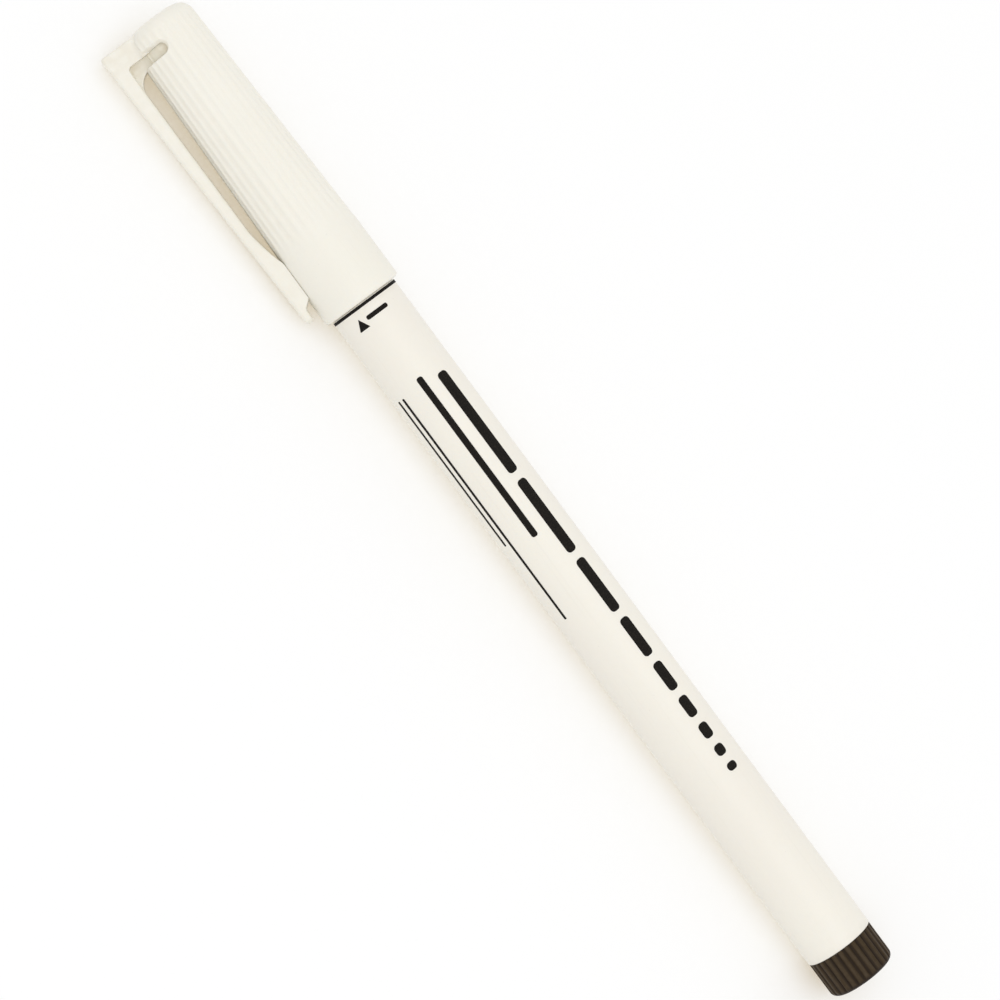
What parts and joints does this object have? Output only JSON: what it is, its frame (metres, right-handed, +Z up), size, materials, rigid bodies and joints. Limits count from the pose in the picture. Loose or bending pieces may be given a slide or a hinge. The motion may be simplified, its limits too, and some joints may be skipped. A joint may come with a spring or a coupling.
{
  "type": "correction pen",
  "caption": "Slim capped fibre-tip correction pen: fluted pull-off cap with a springing pocket clip, plain tube barrel, ribbed dark end plug.",
  "frame": {"origin": "on the pen's axis, half way along the bare barrel", "axes": "+X along the pen from the cap's top to the end plug, +Z up with the pen lying on its side, the clip towards -Y and a little down"},
  "size_m": [0.1403, 0.0132, 0.0104],
  "materials": {
    "barrel_white": "satin moulded",
    "plug_dark": "moulded",
    "section_white": "moulded",
    "nib_fibre": "bonded fibre",
    "reservoir_fibre": "fibre bundle",
    "wrap_film": "clear film",
    "liner_natural": "natural moulded",
    "cap_ivory": "satin moulded"
  },
  "bodies": {
    "pen": {"barrel": "barrel_white", "end_plug": "plug_dark", "front_section": "section_white", "nib": "nib_fibre", "reservoir_core": "reservoir_fibre", "reservoir_wrap": "wrap_film"},
    "cap": {"cap_shell": "cap_ivory", "inner_cap": "liner_natural"},
    "clip": {"pocket_clip": "cap_ivory"}
  },
  "joints": [
    {"name": "cap_slide", "type": "slide", "parent": "pen", "child": "cap", "axis": [-1, 0, 0], "range_m": [0, 0.05]},
    {"name": "clip_flex", "type": "hinge", "parent": "cap", "child": "clip", "pos_m": [-0.0813, -0.0071, -0.00322], "axis": [0, 0.4128, -0.9108], "range_deg": [0, 5], "stiffness_Nm_per_rad": 0.14}
  ]
}
